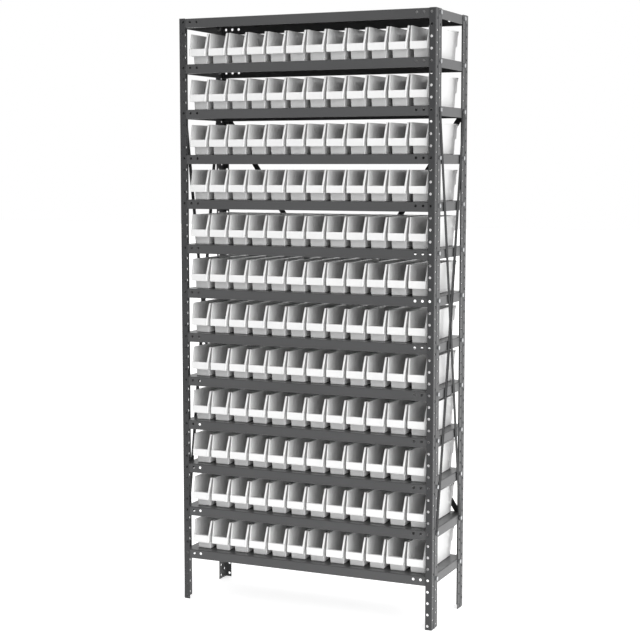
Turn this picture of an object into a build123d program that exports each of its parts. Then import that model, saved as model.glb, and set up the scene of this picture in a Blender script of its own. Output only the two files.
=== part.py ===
from build123d import *
import os
from math import atan2, degrees, hypot

# Bin shelving unit: four punched angle posts, a stack of formed steel shelves,
# crossed straps on both sides and across the back, and a row of open-front
# parts bins on every shelf but the top one.
# Millimetres, +Z up, front towards -Y, origin on the floor under the middle.

# Shelf: a steel pan with turned-down flanges and a return along front and rear
shelf_length = 918.0
shelf_depth = 312.1
shelf_sheet = 1.2
shelf_flange = 31.0
shelf_return = 10.0
shelf_bend = 3.2
shelf_hole_drop = 12.0
shelf_hole_gap = 25.4
holes_per_shelf_end = 3

# Post: an angle with one hole column in the front flange and two in the side flange
post_wall = 1.9
post_bend = 3.0
hole_radius = 4.5
hole_pitch = 38.1
post_end_margin = 12.7
strap_inset = 5.5
front_edge_margin = 7.6
side_edge_margin = 13.6
bead_width = 10.0
bead_margin = 0.7
bead_flank_share = 0.3
bead_height = 1.5

# Layout of the unit
shelf_count = 13
holes_per_bay = 4
holes_under_shelves = 4
unbraced_bay_count = 1
braced_bay_count = 9

# Brace straps
strap_width = 19.0
strap_sheet = 1.5
strap_foot = 30.0
strap_crossing = 24.0
strap_clearance = 0.3

# Bolts and nuts
bolt_radius = 4.0
hex_across_flats = 13.0
bolt_head_height = 5.3
nut_height = 6.5
bolt_end = 2.0
thread_clearance = 0.15

# Parts bin: tapered tub with an open hopper front and a hook along its rear rim
bins_per_row = 12
lower_row_count = 6
bin_side_clearance = 6.0
bin_gap = 4.3
bin_setback = 10.5
bin_rear_gap = 6.1
bin_head_room = 19.5
bin_seat_clearance = 0.3
bin_wall = 2.2
bin_side_draft = 5.7
bin_chamfer = 2.5
tub_corner = 4.0
rim_corner = 2.5
rim_height = 4.0
rim_depth = 3.0
rim_step = 3.0
lip_height = 50.8
lip_depth = 13.0
band_height = 24.0
band_lean = 1.5
base_setback = 25.3
band_ledge = 3.0
front_slope = 15.0
label_side_margin = 4.5
label_margin = 2.5
label_recess = 0.7
hook_reach = 6.0
hook_drop = 12.0
rear_draft = 1.0
rear_step = 13.5
rear_step_drop = 48.0
rear_step_rise = 4.0

cut_overrun = 1.0

# Sizes that follow from the driving ones
holes_in_post = holes_under_shelves + holes_per_bay * (shelf_count - 1) + 1
post_height = 2 * post_end_margin + hole_pitch * (holes_in_post - 1)
frame_width = shelf_length + 2 * post_wall
frame_depth = shelf_depth + 2 * post_wall
brace_low_shelf = unbraced_bay_count
brace_high_shelf = brace_low_shelf + braced_bay_count
hardware_height = strap_sheet + bolt_head_height
box_depth = frame_depth + hardware_height
front_y = -box_depth / 2
rear_y = front_y + frame_depth
shelf_mid_y = (front_y + rear_y) / 2
half_width = frame_width / 2
post_hole_inset = strap_inset + strap_width / 2
front_hole_x = half_width - post_hole_inset
post_front_flange = post_hole_inset + front_edge_margin
inner_column = post_hole_inset
bead_start = inner_column + hole_radius + bead_margin
bead_end = bead_start + bead_width
outer_column = bead_end + bead_margin + strap_width / 2
post_side_flange = outer_column + side_edge_margin
bolt_column_front_y = front_y + outer_column
bolt_column_rear_y = rear_y - outer_column
strap_offset = strap_sheet + strap_clearance
row_width = frame_width - 2 * (post_front_flange + bin_side_clearance)
bin_pitch = (row_width + bin_gap) / bins_per_row
bin_width = bin_pitch - bin_gap
bin_length = frame_depth - bin_setback - bin_rear_gap
bay_height = holes_per_bay * hole_pitch
bin_height = bay_height - shelf_flange - bin_seat_clearance - bin_head_room


def hole_z(index):
    """Height of a post hole, counted up from the lowest one."""
    return post_end_margin + index * hole_pitch


def shelf_hole_z(shelf):
    """Height of the post holes that a shelf is bolted at, counted up from the lowest shelf."""
    return hole_z(holes_under_shelves + holes_per_bay * shelf)


def shelf_top_z(shelf):
    return shelf_hole_z(shelf) + shelf_hole_drop


def drill_y(x, z, y_from, y_to, radius):
    """Round cutter along Y between two depths, longer by the overrun at both ends."""
    length = abs(y_to - y_from) + 2 * cut_overrun
    middle = (y_from + y_to) / 2
    return Pos(x, middle, z) * Rot(90, 0, 0) * Cylinder(radius, length)


def drill_x(y, z, x_from, x_to, radius):
    """Round cutter along X between two places, longer by the overrun at both ends."""
    length = abs(x_to - x_from) + 2 * cut_overrun
    middle = (x_from + x_to) / 2
    return Pos(middle, y, z) * Rot(0, 90, 0) * Cylinder(radius, length)


def make_post():
    """Front right post: the angle's outer corner is at the unit's front right corner."""
    wall = post_wall
    bead_flank = bead_flank_share * bead_width
    x_out = half_width
    x_in = half_width - wall
    outside = [
        (half_width - post_front_flange, front_y),
        (x_out, front_y),
        (x_out, front_y + bead_start),
        (x_out + bead_height, front_y + bead_start + bead_flank),
        (x_out + bead_height, front_y + bead_end - bead_flank),
        (x_out, front_y + bead_end),
        (x_out, front_y + post_side_flange),
    ]
    inside = [
        (x_in, front_y + post_side_flange),
        (x_in, front_y + bead_end),
        (x_in + bead_height, front_y + bead_end - bead_flank),
        (x_in + bead_height, front_y + bead_start + bead_flank),
        (x_in, front_y + bead_start),
        (x_in, front_y + wall),
        (half_width - post_front_flange, front_y + wall),
    ]
    section = make_face(Polyline(*outside, *inside, close=True))
    outer_corner = section.vertices().sort_by_distance((x_out, front_y))[0]
    section = fillet(outer_corner, post_bend)
    inner_corner = section.vertices().sort_by_distance((x_in, front_y + wall))[0]
    section = fillet(inner_corner, post_bend - wall)
    angle = extrude(section, amount=post_height, dir=(0, 0, 1))
    cutters = []
    for index in range(holes_in_post):
        z = hole_z(index)
        cutters.append(drill_y(front_hole_x, z, front_y, front_y + wall, hole_radius))
        cutters.append(drill_x(front_y + outer_column, z, x_in, x_out, hole_radius))
    for index in range(holes_in_post - 1):
        z = hole_z(index) + hole_pitch / 2
        cutters.append(drill_x(front_y + inner_column, z, x_in, x_out, hole_radius))
    return angle - cutters


def make_shelf():
    """Shelf with its top face at height zero, between the posts."""
    half_length = shelf_length / 2
    half_depth = shelf_depth / 2
    sheet = shelf_sheet
    middle = Pos(0, shelf_mid_y, -shelf_flange / 2)
    shell = middle * Box(shelf_length, shelf_depth, shelf_flange)
    rims = shell.edges().group_by(Axis.Z)[-1] + shell.edges().filter_by(Axis.Z)
    shell = fillet(rims, shelf_bend)
    hollow = Box(shelf_length - 2 * sheet, shelf_depth - 2 * sheet, shelf_flange)
    hollow_rims = hollow.edges().group_by(Axis.Z)[-1] + hollow.edges().filter_by(Axis.Z)
    hollow = fillet(hollow_rims, shelf_bend - sheet)
    pan = shell - Pos(0, shelf_mid_y, -shelf_flange / 2 - sheet) * hollow
    # The returns are turned in along the foot of the front and rear flanges
    return_length = shelf_length - 2 * sheet
    for side in (-1, 1):
        return_y = shelf_mid_y + side * (half_depth - sheet / 2 - shelf_return / 2)
        place = Pos(0, return_y, -shelf_flange + sheet / 2)
        pan += place * Box(return_length, shelf_return - sheet, sheet)
    cutters = []
    for side in (-1, 1):
        flange_y = shelf_mid_y + side * half_depth
        inner_y = flange_y - side * sheet
        for end in (-1, 1):
            for number in range(holes_per_shelf_end):
                x = end * (front_hole_x - number * shelf_hole_gap)
                cutters.append(drill_y(x, -shelf_hole_drop, flange_y, inner_y, hole_radius))
    for end in (-1, 1):
        flange_x = end * half_length
        inner_x = flange_x - end * sheet
        for y in (bolt_column_front_y, bolt_column_rear_y):
            cutters.append(drill_x(y, -shelf_hole_drop, flange_x, inner_x, hole_radius))
    return pan - cutters


def make_strap(length, lifted):
    """Strap along X from hole to hole on the plane of zero height, its second hole at the length given.

    A lifted strap rises over its middle, so that it passes across the flat one.
    """
    half = length / 2
    outline = Pos(half, 0) * SlotCenterToCenter(length, strap_width)
    if lifted:
        end = strap_width / 2
        low = [
            (-end, 0),
            (strap_foot, 0),
            (half - strap_crossing, strap_offset),
            (half + strap_crossing, strap_offset),
            (length - strap_foot, 0),
            (length + end, 0),
        ]
        high = [(x, z + strap_sheet) for x, z in reversed(low)]
        section = make_face(Polyline(*[(x, 0, z) for x, z in low + high], close=True))
        bent = extrude(section, amount=strap_width, both=True, dir=(0, 1, 0))
        strap = bent & extrude(outline, amount=strap_offset + strap_sheet)
    else:
        strap = extrude(outline, amount=strap_sheet)
    cutter = Cylinder(hole_radius, 2 * (strap_sheet + cut_overrun))
    return strap - [cutter, Pos(length, 0, 0) * cutter]


def place_strap(start, end, outward, lifted):
    """Strap laid between two hole centres in a plane that faces outward."""
    run = Vector(*end) - Vector(*start)
    plane = Plane(origin=start, x_dir=run.normalized(), z_dir=outward)
    return plane * make_strap(run.length, lifted)


def make_bolt(grip):
    """Bolt along Z: the head stands on the plane of zero height and the shank goes down through the grip."""
    reach = grip + nut_height + bolt_end
    head = extrude(RegularPolygon(hex_across_flats / 2, 6, major_radius=False), amount=bolt_head_height)
    shank = Pos(0, 0, -reach / 2) * Cylinder(bolt_radius, reach)
    return head + shank


def make_nut(grip):
    """Nut along Z, screwed up against the far side of the grip."""
    body = RegularPolygon(hex_across_flats / 2, 6, major_radius=False) - Circle(bolt_radius + thread_clearance)
    return Pos(0, 0, -grip - nut_height) * extrude(body, amount=nut_height)


def make_bin():
    """Parts bin standing on the plane of zero height, centred on X, its label band's face at Y zero."""
    wall = bin_wall
    band_foot = lip_height - band_height
    rear_high = bin_length - hook_reach
    rear_low = rear_high - rear_step
    rear_foot = rear_low - rear_draft
    rim_foot = bin_height - rim_height
    slope_foot = band_lean + band_ledge
    slope_run = front_slope * (rim_foot - lip_height) / (bin_height - lip_height)
    rear_step_high = bin_height - rear_step_drop
    rear_step_low = rear_step_high - rear_step_rise
    top_half = bin_width / 2
    foot_half = top_half - bin_side_draft
    band_half = foot_half + bin_side_draft * band_foot / bin_height
    tub_top = top_half - rim_step
    tub_foot = foot_half - rim_step

    tub_outline = [
        (base_setback + bin_chamfer, 0),
        (base_setback, bin_chamfer),
        (base_setback, band_foot),
        (0, band_foot),
        (band_lean, lip_height),
        (slope_foot, lip_height),
        (slope_foot + front_slope, bin_height),
        (bin_length, bin_height),
        (bin_length, bin_height - hook_drop),
        (bin_length - wall, bin_height - hook_drop),
        (bin_length - wall, bin_height - wall),
        (rear_high, bin_height - wall),
        (rear_high, rear_step_high),
        (rear_low, rear_step_low),
        (rear_foot, bin_chamfer),
        (rear_foot - bin_chamfer, 0),
    ]
    # Label band, and the rim turned out along the sloping front edges and the tops of the side walls
    rim_outline = [
        (0, band_foot),
        (band_lean, lip_height),
        (slope_foot, lip_height),
        (slope_foot + front_slope, bin_height),
        (rear_high, bin_height),
        (rear_high, rim_foot),
        (slope_foot + rim_depth + slope_run, rim_foot),
        (slope_foot + rim_depth, lip_height),
        (lip_depth + wall, lip_height),
        (base_setback + wall, band_foot),
    ]
    cavity_outline = [
        (base_setback + wall + bin_chamfer, wall),
        (base_setback + wall, wall + bin_chamfer),
        (base_setback + wall, band_foot + wall),
        (lip_depth, lip_height),
        (-cut_overrun, lip_height),
        (-cut_overrun, bin_height + cut_overrun),
        (rear_high - wall, bin_height + cut_overrun),
        (rear_high - wall, rear_step_high + wall),
        (rear_low - wall, rear_step_low + wall),
        (rear_foot - wall, wall + bin_chamfer),
        (rear_foot - wall - bin_chamfer, wall),
    ]
    # Finger pocket behind the label band, open underneath
    pocket_outline = [
        (wall, band_foot - cut_overrun),
        (base_setback, band_foot - cut_overrun),
        (base_setback, band_foot),
        (lip_depth - wall, lip_height - wall),
        (band_lean + wall, lip_height - wall),
    ]
    tub_cross = [(tub_foot - bin_chamfer, 0), (tub_foot, bin_chamfer), (tub_top, bin_height)]
    rim_cross = [(foot_half, 0), (top_half, bin_height)]
    cavity_cross = [
        (tub_foot - wall - bin_chamfer, wall),
        (tub_foot - wall, wall + bin_chamfer),
        (tub_top - wall, bin_height),
        (tub_top - wall, bin_height + cut_overrun),
    ]
    pocket_cross = [(band_half - wall, 0), (band_half - wall, bin_height)]

    tub = side_prism(tub_outline) & cross_prism(tub_cross)
    tub_front = tub.edges().filter_by_position(Axis.Y, base_setback, base_setback)
    tub_corners = edges_between(tub_front, bin_chamfer, band_foot)
    rim = side_prism(rim_outline) & cross_prism(rim_cross)
    band_corners = edges_between(rim.edges().filter_by_position(Axis.Y, 0, band_lean), band_foot, lip_height)
    slope_corners = edges_between(rim.edges(), lip_height, rim_foot).sort_by(Axis.Y)[:2]
    body = fillet(tub_corners, tub_corner) + fillet(band_corners + slope_corners, rim_corner)
    body -= side_prism(cavity_outline) & cross_prism(cavity_cross)
    body -= side_prism(pocket_outline) & cross_prism(pocket_cross)
    return body - label_panel(band_foot, 2 * (band_half - label_side_margin))


def edges_between(edges, low, high):
    """Edges whose middles lie between two heights."""
    return edges.filter_by_position(Axis.Z, low, high, inclusive=(False, False))


def side_prism(outline):
    """Outline in Y and Z, carried across the whole width of a bin."""
    face = make_face(Polyline(*[(0, y, z) for y, z in outline], close=True))
    return extrude(face, amount=bin_width, both=True, dir=(1, 0, 0))


def cross_prism(right_side):
    """Right half of an outline in X and Z, mirrored and carried along the whole length of a bin."""
    left_side = [(-x, z) for x, z in reversed(right_side)]
    points = [(x, -cut_overrun, z) for x, z in right_side + left_side]
    face = make_face(Polyline(*points, close=True))
    return extrude(face, amount=bin_length + 2 * cut_overrun, dir=(0, 1, 0))


def label_panel(band_foot, panel_width):
    """Shallow cutter for the label panel, parallel to the leaning band."""
    lean_angle = degrees(atan2(band_lean, band_height))
    face_height = hypot(band_lean, band_height)
    panel = Box(panel_width, 2 * label_recess, face_height - 2 * label_margin)
    return Pos(0, band_lean / 2, band_foot + band_height / 2) * Rot(-lean_angle, 0, 0) * panel


def bin_place(row, number):
    """Place of a bin on its shelf, rows counted from the lowest shelf and bins from the left."""
    x = (number - (bins_per_row - 1) / 2) * bin_pitch
    z = shelf_top_z(row) + bin_seat_clearance
    return Pos(x, front_y + bin_setback, z)


def corner_spots(shelf):
    """Bolt column corners of a shelf: point on the post's side face and its outward direction."""
    spots = []
    for side in (-1, 1):
        for y in (bolt_column_front_y, bolt_column_rear_y):
            spots.append(((side * half_width, y, shelf_hole_z(shelf)), (side, 0, 0)))
    return spots


def back_spots(shelf):
    """Rear flange corners of a shelf: point on the post's rear face and its outward direction."""
    return [((side * front_hole_x, rear_y, shelf_hole_z(shelf)), (0, 1, 0)) for side in (-1, 1)]


def on_spot(spot, lift, piece):
    """Piece that stands along Z, set on a spot and lifted off its face."""
    point, outward = spot
    return Plane(origin=point, z_dir=outward) * Pos(0, 0, lift) * piece


def write(name, *solids):
    shape = solids[0] if len(solids) == 1 else Compound(children=list(solids))
    export_step(shape, os.path.join("parts", name + ".step"))


def write_posts():
    front_right = make_post()
    front_left = mirror(front_right, about=Plane.YZ)
    middle = Plane(origin=(0, shelf_mid_y, 0), z_dir=(0, 1, 0))
    write("post_front_right", front_right)
    write("post_front_left", front_left)
    write("post_rear_right", mirror(front_right, about=middle))
    write("post_rear_left", mirror(front_left, about=middle))


def write_shelves():
    shelf = make_shelf()
    for number in range(shelf_count):
        write(f"shelf_{number + 1:02d}", Pos(0, 0, shelf_top_z(number)) * shelf)


def write_braces():
    low_z = shelf_hole_z(brace_low_shelf)
    high_z = shelf_hole_z(brace_high_shelf)
    for side, name in ((-1, "left"), (1, "right")):
        x = side * half_width
        falling = (x, bolt_column_front_y, high_z), (x, bolt_column_rear_y, low_z)
        rising = (x, bolt_column_front_y, low_z), (x, bolt_column_rear_y, high_z)
        write(f"side_brace_{name}_falling", place_strap(*falling, (side, 0, 0), False))
        write(f"side_brace_{name}_rising", place_strap(*rising, (side, 0, 0), True))
    falling = (-front_hole_x, rear_y, high_z), (front_hole_x, rear_y, low_z)
    rising = (-front_hole_x, rear_y, low_z), (front_hole_x, rear_y, high_z)
    write("back_brace_falling", place_strap(*falling, (0, 1, 0), False))
    write("back_brace_rising", place_strap(*rising, (0, 1, 0), True))


def write_fasteners():
    shelf_grip = post_wall + shelf_sheet
    brace_grip = shelf_grip + strap_sheet
    braced = (brace_low_shelf, brace_high_shelf)
    plain = [spot for shelf in range(shelf_count) if shelf not in braced for spot in corner_spots(shelf)]
    strapped = [spot for shelf in braced for spot in corner_spots(shelf) + back_spots(shelf)]
    bolt, nut = make_bolt(shelf_grip), make_nut(shelf_grip)
    long_bolt, long_nut = make_bolt(brace_grip), make_nut(brace_grip)
    write("shelf_bolts", *[on_spot(spot, 0, bolt) for spot in plain])
    write("shelf_nuts", *[on_spot(spot, 0, nut) for spot in plain])
    write("brace_bolts", *[on_spot(spot, strap_sheet, long_bolt) for spot in strapped])
    write("brace_nuts", *[on_spot(spot, strap_sheet, long_nut) for spot in strapped])


def write_bins():
    parts_bin = make_bin()
    for row in range(shelf_count - 1):
        placed = [bin_place(row, number) * parts_bin for number in range(bins_per_row)]
        if row == lower_row_count:
            for number, solid in enumerate(placed):
                write(f"bin_{number + 1:02d}", solid)
        else:
            write(f"bin_row_{row + 1:02d}", *placed)


os.makedirs("parts", exist_ok=True)
write_posts()
write_shelves()
write_braces()
write_fasteners()
write_bins()
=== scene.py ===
from math import radians
from typing import NamedTuple

import bpy
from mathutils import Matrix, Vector


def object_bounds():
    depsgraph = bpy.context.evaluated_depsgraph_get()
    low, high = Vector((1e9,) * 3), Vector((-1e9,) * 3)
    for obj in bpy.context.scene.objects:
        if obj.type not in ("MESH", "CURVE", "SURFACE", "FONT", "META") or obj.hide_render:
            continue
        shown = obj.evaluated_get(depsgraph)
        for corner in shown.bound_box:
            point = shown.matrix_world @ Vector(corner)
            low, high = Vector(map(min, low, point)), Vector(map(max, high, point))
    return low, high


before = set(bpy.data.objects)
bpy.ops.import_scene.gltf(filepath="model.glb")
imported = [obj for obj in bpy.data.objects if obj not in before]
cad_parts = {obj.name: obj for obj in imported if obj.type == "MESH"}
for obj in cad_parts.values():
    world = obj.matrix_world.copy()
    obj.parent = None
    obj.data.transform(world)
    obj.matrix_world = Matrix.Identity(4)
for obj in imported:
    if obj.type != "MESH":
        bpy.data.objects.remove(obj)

bl_info = {
    "name": "Bin shelving unit",
    "version": (1, 0, 0),
    "blender": (4, 5, 0),
    "location": "3D View > Sidebar > Shelving",
    "description": "Finishes a steel shelving unit with parts bins and sets up its studio",
    "category": "Object",
}


class Mottle(NamedTuple):
    """Noise that varies a finish: features per metre, detail, and the range that it runs over."""

    scale: float
    detail: float
    low: float
    high: float


class Grain(NamedTuple):
    """Fine relief of a surface: features per metre, detail, depth in metres and strength."""

    scale: float
    detail: float
    depth: float
    strength: float


CAD_BOX = [list(corner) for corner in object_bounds()]
UNIT_HEIGHT = CAD_BOX[1][2]

# Painted steel: the gloss runs around the roughness, and a lighter shade along the edges is a painted
# highlight.
POST_CLOUDS = Mottle(scale=2.5, detail=3, low=0.93, high=1.07)
POST_PEEL = Grain(scale=650.0, detail=2, depth=0.00005, strength=0.08)
SHELF_CLOUDS = Mottle(scale=3.5, detail=3, low=0.93, high=1.07)
SHELF_PEEL = Grain(scale=600.0, detail=2, depth=0.00005, strength=0.08)
STRAP_CLOUDS = Mottle(scale=5.0, detail=3, low=0.93, high=1.07)
STRAP_PEEL = Grain(scale=700.0, detail=2, depth=0.00005, strength=0.08)
PAINT_GLOSS = Mottle(scale=60.0, detail=4, low=-0.015, high=0.02)
# Painted highlight on the steel's edges: how much lighter it is, the radius that finds the edges, and its
# share.
EDGE_HIGHLIGHT_SHADE = Mottle(scale=120.0, detail=2, low=1.7, high=2.3)
EDGE_HIGHLIGHT_RADIUS = 0.0008
EDGE_HIGHLIGHT_SHARE = 0.55

# Moulded plastic and zinc plating.
BIN_CLOUDS = Mottle(scale=14.0, detail=3, low=0.975, high=1.02)
BIN_GLOSS = Mottle(scale=45.0, detail=4, low=-0.05, high=0.07)
BIN_GRAIN = Grain(scale=2600.0, detail=2, depth=0.00003, strength=0.2)
ZINC_CLOUDS = Mottle(scale=900.0, detail=3, low=0.85, high=1.12)
ZINC_GLOSS = Mottle(scale=500.0, detail=3, low=-0.08, high=0.1)
ZINC_GRAIN = Grain(scale=2200.0, detail=2, depth=0.00004, strength=0.2)

# Studio floor: its painted pool of light fades over a strip in front of the unit, given in metres along
# the depth.
FLOOR_CLOUDS = Mottle(scale=0.8, detail=3, low=0.99, high=1.01)
FLOOR_GLOSS = Mottle(scale=6.0, detail=3, low=0.75, high=0.85)
FLOOR_SHINE = 0.1
FLOOR_FADE_FROM = -1.7
FLOOR_FADE_TO = -0.95

# Studio sky: half the width of its fade from front to back, as a part of the view direction.
SKY_FADE = 0.3
WHITE = (1.0, 1.0, 1.0, 1.0)
SENSOR_WIDTH = 36.0
LEVEL = radians(90.0)

# Noise textures keep mostly between these two values.
NOISE_LOW = 0.3
NOISE_HIGH = 0.7

# The mix node's sockets for colours.
COLOUR_A = 6
COLOUR_B = 7
COLOUR_OUT = 2

# An edge counts in full where its rounded normal leaves the true one by this much.
FLAT_DOT = 1.0
EDGE_DOT = 0.7
EDGE_SAMPLES = 4

# Rounding of edges with modifiers.
WELD_DISTANCE = 0.00001
FLAT_LIMIT = radians(0.5)
BEVEL_LIMIT = radians(35.0)
SMOOTH_LIMIT = radians(40.0)
FLAT_WEIGHT = 80
SHEET_SEGMENTS = 1
ROUND_SEGMENTS = 2


def nodes_named(*starts):
    """CAD objects whose names start with one of the words given, in the order of their names."""
    names = sorted(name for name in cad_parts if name.startswith(starts))
    if not names:
        raise RuntimeError(f"the frame has no node named {' or '.join(starts)}")
    return [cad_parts[name] for name in names]


class ShelvingFinish(bpy.types.PropertyGroup):
    """Colours, gloss and edge rounding of the unit's pieces."""

    post_colour: bpy.props.FloatVectorProperty(
        name="Post paint", description="Colour of the posts",
        subtype="COLOR", size=3, min=0.0, max=1.0, default=(0.056, 0.0565, 0.058),
    )
    post_shine: bpy.props.FloatProperty(
        name="Post shine", description="How much light the posts' paint mirrors",
        subtype="FACTOR", min=0.0, max=1.0, default=0.2,
    )
    shelf_colour: bpy.props.FloatVectorProperty(
        name="Shelf paint", description="Colour of the shelves",
        subtype="COLOR", size=3, min=0.0, max=1.0, default=(0.085, 0.0855, 0.087),
    )
    shelf_shine: bpy.props.FloatProperty(
        name="Shelf shine", description="How much light the shelves' paint mirrors",
        subtype="FACTOR", min=0.0, max=1.0, default=0.25,
    )
    paint_roughness: bpy.props.FloatProperty(
        name="Paint roughness", description="Lower is glossier",
        subtype="FACTOR", min=0.0, max=1.0, default=0.29,
    )
    strap_colour: bpy.props.FloatVectorProperty(
        name="Strap paint", description="Colour of the crossed straps",
        subtype="COLOR", size=3, min=0.0, max=1.0, default=(0.024, 0.0245, 0.0255),
    )
    strap_shine: bpy.props.FloatProperty(
        name="Strap shine", description="How much light the straps' paint mirrors",
        subtype="FACTOR", min=0.0, max=1.0, default=0.15,
    )
    strap_roughness: bpy.props.FloatProperty(
        name="Strap roughness", description="Lower is glossier",
        subtype="FACTOR", min=0.0, max=1.0, default=0.5,
    )
    paint_edge: bpy.props.FloatProperty(
        name="Sheet edge", description="Rounding of the cut edges of the steel sheet",
        unit="LENGTH", min=0.0, default=0.0003,
    )
    bin_colour: bpy.props.FloatVectorProperty(
        name="Bins", description="Colour of the moulded bins",
        subtype="COLOR", size=3, min=0.0, max=1.0, default=(0.92, 0.92, 0.917),
    )
    bin_shine: bpy.props.FloatProperty(
        name="Bin shine", description="How much light the bins mirror",
        subtype="FACTOR", min=0.0, max=1.0, default=0.45,
    )
    bin_roughness: bpy.props.FloatProperty(
        name="Bin roughness", description="Lower is glossier",
        subtype="FACTOR", min=0.0, max=1.0, default=0.15,
    )
    bin_edge: bpy.props.FloatProperty(
        name="Bin edge", description="Rounding of the moulded edges",
        unit="LENGTH", min=0.0, default=0.0006,
    )
    zinc_colour: bpy.props.FloatVectorProperty(
        name="Zinc", description="Colour of the plated bolts and nuts",
        subtype="COLOR", size=3, min=0.0, max=1.0, default=(0.52, 0.53, 0.54),
    )
    zinc_roughness: bpy.props.FloatProperty(
        name="Zinc roughness", description="Lower is glossier",
        subtype="FACTOR", min=0.0, max=1.0, default=0.34,
    )
    bolt_edge: bpy.props.FloatProperty(
        name="Bolt edge", description="Rounding of the bolt heads and nuts",
        unit="LENGTH", min=0.0, default=0.0005,
    )


class ShelvingStudio(bpy.types.PropertyGroup):
    """Camera, floor and lights of the studio."""

    camera_place: bpy.props.FloatVectorProperty(
        name="Camera", description="Where the camera stands",
        subtype="TRANSLATION", unit="LENGTH", size=3, default=(2.0712, -4.6499, 1.5088),
    )
    camera_tilt: bpy.props.FloatProperty(
        name="Tilt", description="How far the camera looks down",
        unit="ROTATION", default=radians(5.857),
    )
    camera_turn: bpy.props.FloatProperty(
        name="Turn", description="How far the camera is turned to the left",
        unit="ROTATION", default=radians(24.116),
    )
    lens: bpy.props.FloatProperty(
        name="Lens", description="Focal length on a 36 mm sensor", unit="CAMERA", default=84.068,
    )
    # The lighter floor colour and the glow under and behind the unit, with the darker floor in front,
    # make a painted pool of light.
    floor_colour: bpy.props.FloatVectorProperty(
        name="Floor", description="Colour of the studio floor",
        subtype="COLOR", size=3, min=0.0, max=1.0, default=(0.92, 0.92, 0.92),
    )
    floor_front_colour: bpy.props.FloatVectorProperty(
        name="Floor in front", description="Colour of the floor well in front of the unit",
        subtype="COLOR", size=3, min=0.0, max=1.0, default=(0.80, 0.80, 0.80),
    )
    floor_size: bpy.props.FloatProperty(
        name="Floor size", description="Side of the square floor", unit="LENGTH", default=60.0,
    )
    floor_glow: bpy.props.FloatProperty(
        name="Floor glow", description="Light of the floor itself, under and behind the unit",
        min=0.0, default=0.6,
    )
    sky_strength: bpy.props.FloatProperty(
        name="Sky", description="Brightness of the white surroundings", min=0.0, default=1.0,
    )
    sky_front_share: bpy.props.FloatProperty(
        name="Sky in front", description="Share of that brightness in front of the unit",
        subtype="FACTOR", min=0.0, max=1.0, default=0.45,
    )
    sky_right_gain: bpy.props.FloatProperty(
        name="Sky at the front right", description="Brightness that the front gains towards the right",
        min=0.0, default=1.4,
    )
    key_power: bpy.props.FloatProperty(
        name="Key light", description="Power of the large light at the front right",
        unit="POWER", default=110.0,
    )
    key_width: bpy.props.FloatProperty(
        name="Key width", description="Width of the key light", unit="LENGTH", default=5.0,
    )
    key_height: bpy.props.FloatProperty(
        name="Key height", description="Height of the key light", unit="LENGTH", default=4.0,
    )
    key_place: bpy.props.FloatVectorProperty(
        name="Key place", description="Where the key light hangs",
        subtype="TRANSLATION", unit="LENGTH", size=3, default=(4.2, -3.6, 2.6),
    )


def new_material(name):
    """Material with a principled shader: gives the material, its node tree and the shader."""
    material = bpy.data.materials.new(name)
    material.use_nodes = True
    tree = material.node_tree
    return material, tree, tree.nodes["Principled BSDF"]


def noise(tree, scale, detail):
    """Noise texture in the piece's own metres; the scale is in features per metre."""
    place = tree.nodes.new("ShaderNodeTexCoord")
    texture = tree.nodes.new("ShaderNodeTexNoise")
    texture.inputs["Scale"].default_value = scale
    texture.inputs["Detail"].default_value = detail
    tree.links.new(place.outputs["Object"], texture.inputs["Vector"])
    return texture.outputs["Fac"]


def varied(tree, mottle, middle=0.0):
    """Noise stretched over a mottle's range, around a middle value."""
    stretch = tree.nodes.new("ShaderNodeMapRange")
    stretch.inputs["From Min"].default_value = NOISE_LOW
    stretch.inputs["From Max"].default_value = NOISE_HIGH
    stretch.inputs["To Min"].default_value = middle + mottle.low
    stretch.inputs["To Max"].default_value = middle + mottle.high
    tree.links.new(noise(tree, mottle.scale, mottle.detail), stretch.inputs["Value"])
    return stretch.outputs["Result"]


def tint(tree, colour, shade):
    """The colour made lighter or darker by a shade value around one."""
    scale = tree.nodes.new("ShaderNodeVectorMath")
    scale.operation = "SCALE"
    scale.inputs[0].default_value = colour
    tree.links.new(shade, scale.inputs["Scale"])
    return scale.outputs["Vector"]


def mix_colour(tree, share, first, second):
    """Blend of two colour outputs by a share."""
    blend = tree.nodes.new("ShaderNodeMix")
    blend.data_type = "RGBA"
    tree.links.new(share, blend.inputs["Factor"])
    tree.links.new(first, blend.inputs[COLOUR_A])
    tree.links.new(second, blend.inputs[COLOUR_B])
    return blend.outputs[COLOUR_OUT]


def edge_mask(tree, radius, gain):
    """Share that rises towards sharp edges, from the difference to a rounded normal."""
    rounded = tree.nodes.new("ShaderNodeBevel")
    rounded.samples = EDGE_SAMPLES
    rounded.inputs["Radius"].default_value = radius
    true = tree.nodes.new("ShaderNodeNewGeometry")
    dot = tree.nodes.new("ShaderNodeVectorMath")
    dot.operation = "DOT_PRODUCT"
    tree.links.new(rounded.outputs["Normal"], dot.inputs[0])
    tree.links.new(true.outputs["Normal"], dot.inputs[1])
    sharp = tree.nodes.new("ShaderNodeMapRange")
    sharp.inputs["From Min"].default_value = FLAT_DOT
    sharp.inputs["From Max"].default_value = EDGE_DOT
    sharp.inputs["To Max"].default_value = gain
    tree.links.new(dot.outputs["Value"], sharp.inputs["Value"])
    return sharp.outputs["Result"]


def relief(tree, shader, grain):
    """Fine relief of the surface."""
    bump = tree.nodes.new("ShaderNodeBump")
    bump.inputs["Strength"].default_value = grain.strength
    bump.inputs["Distance"].default_value = grain.depth
    tree.links.new(noise(tree, grain.scale, grain.detail), bump.inputs["Height"])
    tree.links.new(bump.outputs["Normal"], shader.inputs["Normal"])


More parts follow.
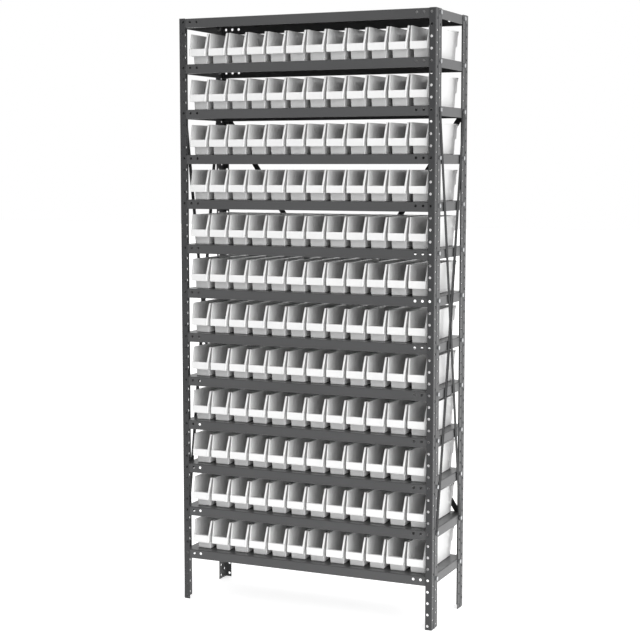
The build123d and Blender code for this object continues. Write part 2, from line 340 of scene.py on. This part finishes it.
def steel_paint(name, colour, gloss, shine, clouds, peel):
    """Baked semi-gloss paint: slight orange peel, faint clouds, and a painted highlight that makes it
    lighter along the edges.
    """
    material, tree, shader = new_material(name)
    body = tint(tree, colour, varied(tree, clouds))
    # Painted highlight: the paint's colour is made lighter along the sharp edges.
    edge_highlight = tint(tree, colour, varied(tree, EDGE_HIGHLIGHT_SHADE))
    edges = edge_mask(tree, EDGE_HIGHLIGHT_RADIUS, EDGE_HIGHLIGHT_SHARE)
    tree.links.new(mix_colour(tree, edges, body, edge_highlight), shader.inputs["Base Color"])
    tree.links.new(varied(tree, PAINT_GLOSS, gloss), shader.inputs["Roughness"])
    shader.inputs["Specular IOR Level"].default_value = shine
    relief(tree, shader, peel)
    return material


def bin_plastic(finish):
    """Satin polypropylene: very fine moulded grain, faint flow clouds in its colour and gloss."""
    material, tree, shader = new_material("bin_plastic")
    colour = tint(tree, tuple(finish.bin_colour), varied(tree, BIN_CLOUDS))
    tree.links.new(colour, shader.inputs["Base Color"])
    tree.links.new(varied(tree, BIN_GLOSS, finish.bin_roughness), shader.inputs["Roughness"])
    shader.inputs["Specular IOR Level"].default_value = finish.bin_shine
    relief(tree, shader, BIN_GRAIN)
    return material


def zinc_plate(finish):
    """Bright zinc plating with a fine mottle."""
    material, tree, shader = new_material("zinc_plate")
    colour = tint(tree, tuple(finish.zinc_colour), varied(tree, ZINC_CLOUDS))
    tree.links.new(colour, shader.inputs["Base Color"])
    shader.inputs["Metallic"].default_value = 1.0
    tree.links.new(varied(tree, ZINC_GLOSS, finish.zinc_roughness), shader.inputs["Roughness"])
    relief(tree, shader, ZINC_GRAIN)
    return material


def ramp(tree, value, high):
    """Value that climbs from zero to high across the strip of floor in front of the unit."""
    climb = tree.nodes.new("ShaderNodeMapRange")
    climb.inputs["From Min"].default_value = FLOOR_FADE_FROM
    climb.inputs["From Max"].default_value = FLOOR_FADE_TO
    climb.inputs["To Max"].default_value = high
    tree.links.new(value, climb.inputs["Value"])
    return climb.outputs["Result"]


def floor_paint(studio):
    """Pale floor with faint clouds and a painted pool of light: lighter and glowing under and behind the
    unit, darker well in front of it.
    """
    material, tree, shader = new_material("studio_floor")
    clouds = varied(tree, FLOOR_CLOUDS)
    # Painted pool of light: the floor's colour is lighter under and behind the unit and darker well in
    # front of it.
    light_pool_colour = tint(tree, tuple(studio.floor_colour), clouds)
    outside_pool_colour = tint(tree, tuple(studio.floor_front_colour), clouds)
    place = tree.nodes.new("ShaderNodeTexCoord")
    parts = tree.nodes.new("ShaderNodeSeparateXYZ")
    tree.links.new(place.outputs["Object"], parts.inputs["Vector"])
    behind = ramp(tree, parts.outputs["Y"], 1.0)
    tree.links.new(mix_colour(tree, behind, outside_pool_colour, light_pool_colour), shader.inputs["Base Color"])
    # Painted pool of light: the floor glows only under and behind the unit.
    glow = ramp(tree, parts.outputs["Y"], studio.floor_glow)
    tree.links.new(glow, shader.inputs["Emission Strength"])
    tree.links.new(varied(tree, FLOOR_GLOSS), shader.inputs["Roughness"])
    shader.inputs["Specular IOR Level"].default_value = FLOOR_SHINE
    shader.inputs["Emission Color"].default_value = WHITE
    return material


def smooth_group():
    """Geometry nodes that shade smooth, except along edges sharper than the limit."""
    name = "smooth_but_sharp_edges"
    if name in bpy.data.node_groups:
        return bpy.data.node_groups[name]
    group = bpy.data.node_groups.new(name, "GeometryNodeTree")
    group.interface.new_socket("Geometry", in_out="INPUT", socket_type="NodeSocketGeometry")
    group.interface.new_socket("Geometry", in_out="OUTPUT", socket_type="NodeSocketGeometry")
    start = group.nodes.new("NodeGroupInput")
    end = group.nodes.new("NodeGroupOutput")
    angle = group.nodes.new("GeometryNodeInputMeshEdgeAngle")
    over = group.nodes.new("FunctionNodeCompare")
    over.data_type = "FLOAT"
    over.operation = "GREATER_THAN"
    over.inputs["B"].default_value = SMOOTH_LIMIT
    shade = group.nodes.new("GeometryNodeSetMeshNormal")
    shade.mode = "SHARPNESS"
    group.links.new(start.outputs["Geometry"], shade.inputs["Mesh"])
    group.links.new(angle.outputs["Unsigned Angle"], over.inputs["A"])
    group.links.new(over.outputs["Result"], shade.inputs["Edge Sharpness"])
    group.links.new(shade.outputs["Mesh"], end.inputs["Geometry"])
    return group


def round_edges(piece, width, segments):
    """Rounds a piece's sharp edges with modifiers, and shades the rest smooth."""
    weld = piece.modifiers.new("weld", "WELD")
    weld.merge_threshold = WELD_DISTANCE
    flat = piece.modifiers.new("join_flat_faces", "DECIMATE")
    flat.decimate_type = "DISSOLVE"
    flat.angle_limit = FLAT_LIMIT
    bevel = piece.modifiers.new("round_edges", "BEVEL")
    bevel.width = width
    bevel.segments = segments
    bevel.limit_method = "ANGLE"
    bevel.angle_limit = BEVEL_LIMIT
    shade = piece.modifiers.new("shade", "NODES")
    shade.node_group = smooth_group()
    normals = piece.modifiers.new("keep_flats_flat", "WEIGHTED_NORMAL")
    normals.mode = "FACE_AREA"
    normals.weight = FLAT_WEIGHT
    normals.keep_sharp = True


def dress(pieces, material, width, segments):
    """Gives pieces a material and rounded edges."""
    for piece in pieces:
        piece.data.materials.clear()
        piece.data.materials.append(material)
        round_edges(piece, width, segments)


class SHELVING_OT_posts(bpy.types.Operator):
    """Paint the four punched angle posts."""

    bl_idname = "shelving.posts"
    bl_label = "Posts"

    def execute(self, context):
        finish = context.scene.shelving_finish
        paint = steel_paint(
            "post_paint", tuple(finish.post_colour), finish.paint_roughness, finish.post_shine,
            POST_CLOUDS, POST_PEEL,
        )
        dress(nodes_named("post_"), paint, finish.paint_edge, SHEET_SEGMENTS)
        return {"FINISHED"}


class SHELVING_OT_shelves(bpy.types.Operator):
    """Paint the formed shelves."""

    bl_idname = "shelving.shelves"
    bl_label = "Shelves"

    def execute(self, context):
        finish = context.scene.shelving_finish
        paint = steel_paint(
            "shelf_paint", tuple(finish.shelf_colour), finish.paint_roughness, finish.shelf_shine,
            SHELF_CLOUDS, SHELF_PEEL,
        )
        dress(nodes_named("shelf_0", "shelf_1"), paint, finish.paint_edge, SHEET_SEGMENTS)
        return {"FINISHED"}


class SHELVING_OT_braces(bpy.types.Operator):
    """Paint the crossed straps at the sides and the back."""

    bl_idname = "shelving.braces"
    bl_label = "Braces"

    def execute(self, context):
        finish = context.scene.shelving_finish
        paint = steel_paint(
            "strap_paint", tuple(finish.strap_colour), finish.strap_roughness, finish.strap_shine,
            STRAP_CLOUDS, STRAP_PEEL,
        )
        dress(nodes_named("side_brace_", "back_brace_"), paint, finish.paint_edge, SHEET_SEGMENTS)
        return {"FINISHED"}


class SHELVING_OT_fasteners(bpy.types.Operator):
    """Plate the bolts and nuts."""

    bl_idname = "shelving.fasteners"
    bl_label = "Bolts and nuts"

    def execute(self, context):
        finish = context.scene.shelving_finish
        pieces = nodes_named("shelf_bolts", "shelf_nuts", "brace_bolts", "brace_nuts")
        dress(pieces, zinc_plate(finish), finish.bolt_edge, ROUND_SEGMENTS)
        return {"FINISHED"}


class SHELVING_OT_bins(bpy.types.Operator):
    """Mould the parts bins, single ones and rows."""

    bl_idname = "shelving.bins"
    bl_label = "Parts bins"

    def execute(self, context):
        finish = context.scene.shelving_finish
        dress(nodes_named("bin_"), bin_plastic(finish), finish.bin_edge, ROUND_SEGMENTS)
        return {"FINISHED"}


def add_floor(studio):
    """Square floor under the unit."""
    half = studio.floor_size / 2
    corners = [(-half, -half, 0), (half, -half, 0), (half, half, 0), (-half, half, 0)]
    mesh = bpy.data.meshes.new("studio_floor")
    mesh.from_pydata(corners, [], [(0, 1, 2, 3)])
    floor = bpy.data.objects.new("studio_floor", mesh)
    mesh.materials.append(floor_paint(studio))
    bpy.context.scene.collection.objects.link(floor)


def add_key_light(studio):
    """Large soft light at the front right, turned to the middle of the unit."""
    lamp = bpy.data.lights.new("key_light", "AREA")
    lamp.shape = "RECTANGLE"
    lamp.energy = studio.key_power
    lamp.size = studio.key_width
    lamp.size_y = studio.key_height
    light = bpy.data.objects.new("key_light", lamp)
    light.location = studio.key_place
    middle = Vector((0.0, 0.0, UNIT_HEIGHT / 2))
    light.rotation_euler = (middle - light.location).to_track_quat("-Z", "Y").to_euler()
    bpy.context.scene.collection.objects.link(light)


def add_sky(studio):
    """White surroundings, dimmer in front of the unit than behind it, and brighter at the front right."""
    world = bpy.data.worlds.new("studio_sky")
    world.use_nodes = True
    tree = world.node_tree
    sky = tree.nodes["Background"]
    sky.inputs["Color"].default_value = WHITE
    direction = tree.nodes.new("ShaderNodeTexCoord")
    parts = tree.nodes.new("ShaderNodeSeparateXYZ")
    tree.links.new(direction.outputs["Generated"], parts.inputs["Vector"])
    fade = tree.nodes.new("ShaderNodeMapRange")
    fade.inputs["From Min"].default_value = -SKY_FADE
    fade.inputs["From Max"].default_value = SKY_FADE
    fade.inputs["To Min"].default_value = studio.sky_strength * studio.sky_front_share
    fade.inputs["To Max"].default_value = studio.sky_strength
    tree.links.new(parts.outputs["Y"], fade.inputs["Value"])
    gain = tree.nodes.new("ShaderNodeMapRange")
    gain.inputs["To Max"].default_value = studio.sky_right_gain
    tree.links.new(parts.outputs["X"], gain.inputs["Value"])
    in_front = tree.nodes.new("ShaderNodeMapRange")
    in_front.inputs["From Min"].default_value = SKY_FADE
    in_front.inputs["From Max"].default_value = -SKY_FADE
    tree.links.new(parts.outputs["Y"], in_front.inputs["Value"])
    total = tree.nodes.new("ShaderNodeMath")
    total.operation = "MULTIPLY_ADD"
    tree.links.new(gain.outputs["Result"], total.inputs[0])
    tree.links.new(in_front.outputs["Result"], total.inputs[1])
    tree.links.new(fade.outputs["Result"], total.inputs[2])
    tree.links.new(total.outputs["Value"], sky.inputs["Strength"])
    bpy.context.scene.world = world


def add_camera(studio):
    """Camera at the picture's angle."""
    lens = bpy.data.cameras.new("camera")
    lens.sensor_width = SENSOR_WIDTH
    lens.lens = studio.lens
    camera = bpy.data.objects.new("camera", lens)
    camera.location = studio.camera_place
    camera.rotation_euler = (LEVEL - studio.camera_tilt, 0.0, studio.camera_turn)
    bpy.context.scene.collection.objects.link(camera)
    bpy.context.scene.camera = camera


class SHELVING_OT_stage(bpy.types.Operator):
    """Set up the floor, the sky, the key light and the camera."""

    bl_idname = "shelving.stage"
    bl_label = "Studio"

    def execute(self, context):
        studio = context.scene.shelving_studio
        add_floor(studio)
        add_sky(studio)
        add_key_light(studio)
        add_camera(studio)
        context.scene.view_settings.view_transform = "Standard"
        return {"FINISHED"}


class SHELVING_PT_panel(bpy.types.Panel):
    """Lists the unit's pieces and the studio in the sidebar."""

    bl_idname = "SHELVING_PT_panel"
    bl_label = "Bin shelving unit"
    bl_space_type = "VIEW_3D"
    bl_region_type = "UI"
    bl_category = "Shelving"

    def draw(self, context):
        for group in (context.scene.shelving_finish, context.scene.shelving_studio):
            for name in group.__annotations__:
                self.layout.prop(group, name)
        for operator in OPERATORS:
            self.layout.operator(operator.bl_idname)


OPERATORS = (
    SHELVING_OT_posts,
    SHELVING_OT_shelves,
    SHELVING_OT_braces,
    SHELVING_OT_fasteners,
    SHELVING_OT_bins,
    SHELVING_OT_stage,
)
CLASSES = (ShelvingFinish, ShelvingStudio, *OPERATORS, SHELVING_PT_panel)


def register():
    for cls in CLASSES:
        bpy.utils.register_class(cls)
    bpy.types.Scene.shelving_finish = bpy.props.PointerProperty(type=ShelvingFinish)
    bpy.types.Scene.shelving_studio = bpy.props.PointerProperty(type=ShelvingStudio)


def unregister():
    del bpy.types.Scene.shelving_studio
    del bpy.types.Scene.shelving_finish
    for cls in reversed(CLASSES):
        bpy.utils.unregister_class(cls)


def main():
    register()
    bpy.ops.shelving.posts()
    bpy.ops.shelving.shelves()
    bpy.ops.shelving.braces()
    bpy.ops.shelving.fasteners()
    bpy.ops.shelving.bins()
    bpy.ops.shelving.stage()


if __name__ == "__main__":
    main()
